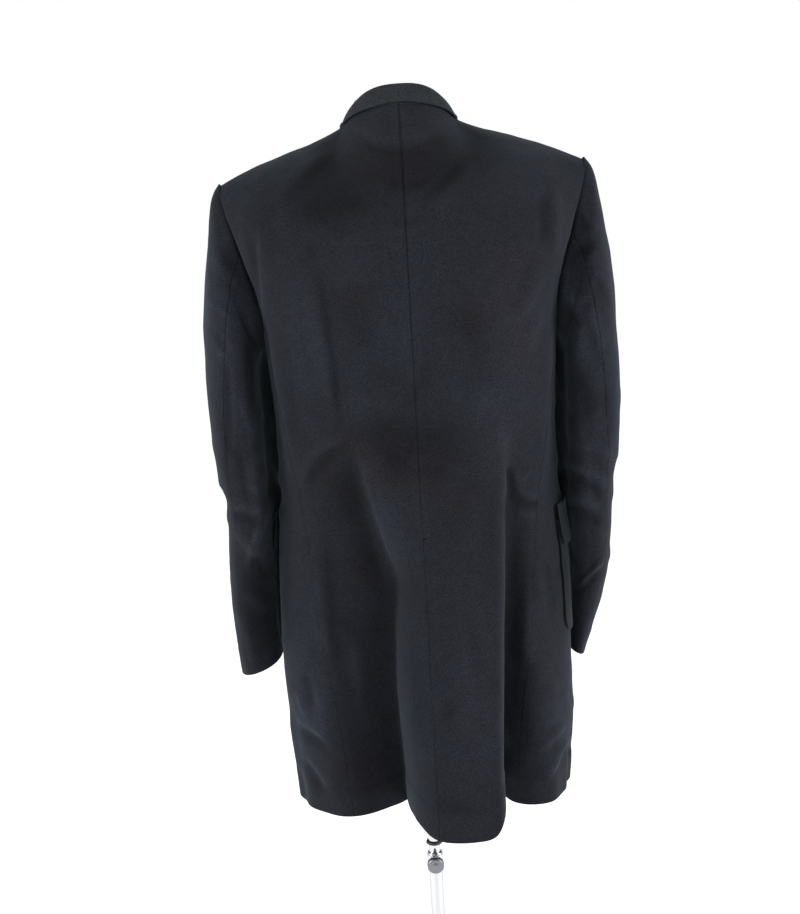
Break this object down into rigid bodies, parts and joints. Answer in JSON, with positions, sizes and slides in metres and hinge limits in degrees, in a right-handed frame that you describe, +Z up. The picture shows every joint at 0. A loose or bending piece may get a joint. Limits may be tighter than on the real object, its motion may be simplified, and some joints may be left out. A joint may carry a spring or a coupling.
{
  "type": "cotton coat on a limbless dress form with a telescopic stand",
  "caption": "Mid-length single-breasted coat in dark brushed cotton, worn by a limbless dress form that turns and slides on a clamped pole over a round base.",
  "frame": {"origin": "centre of the base plate's underside, on the floor", "axes": "+Z up along the pole, the coat's front faces -Y and the wearer's left is +X"},
  "size_m": [0.5242, 0.3511, 1.509],
  "materials": {
    "navy_cotton": "dark navy brushed cotton with a short mottled nap",
    "collar_cotton": "the same navy with a smoother, closer nap",
    "dark_horn": "dark horn-like buttons, satin",
    "form_jersey": "black jersey cover",
    "chrome": "polished chrome plate",
    "clamp_metal": "dark turned metal",
    "black_plastic": "black moulded plastic"
  },
  "bodies": {
    "stand": {"base_plate": "chrome", "base_hub": "chrome", "outer_tube": "chrome", "clamp_ring": "chrome"},
    "pole": {"inner_tube": "chrome", "stop_ring": "black_plastic"},
    "coat_form": {"dress_form": "form_jersey", "neck_cap": "black_plastic", "form_flange": "black_plastic", "back_left": "navy_cotton", "back_right": "navy_cotton", "side_left": "navy_cotton", "side_right": "navy_cotton", "front_left": "navy_cotton", "front_right": "navy_cotton", "lapel_left": "navy_cotton", "lapel_right": "navy_cotton", "collar_leaf": "collar_cotton", "collar_stand": "collar_cotton", "sleeve_top_left": "navy_cotton", "sleeve_under_left": "navy_cotton", "sleeve_top_right": "navy_cotton", "sleeve_under_right": "navy_cotton", "pocket_left": "navy_cotton", "pocket_right": "navy_cotton", "pocket_flap_left": "navy_cotton", "pocket_flap_right": "navy_cotton", "button_1": "dark_horn", "button_2": "dark_horn", "button_3": "dark_horn"},
    "clamp": {"clamp_knob": "clamp_metal"}
  },
  "joints": [
    {"name": "pole_height", "type": "slide", "parent": "stand", "child": "pole", "axis": [0, 0, 1], "range_m": [-0.0115, 0.25]},
    {"name": "form_swivel", "type": "hinge", "parent": "pole", "child": "coat_form", "pos_m": [0, 0, 0.8765], "axis": [0, 0, 1], "continuous": true},
    {"name": "clamp_turn", "type": "hinge", "parent": "stand", "child": "clamp", "pos_m": [0, 0, 0.4835], "axis": [0, 1, 0], "range_deg": [0, 360]}
  ]
}
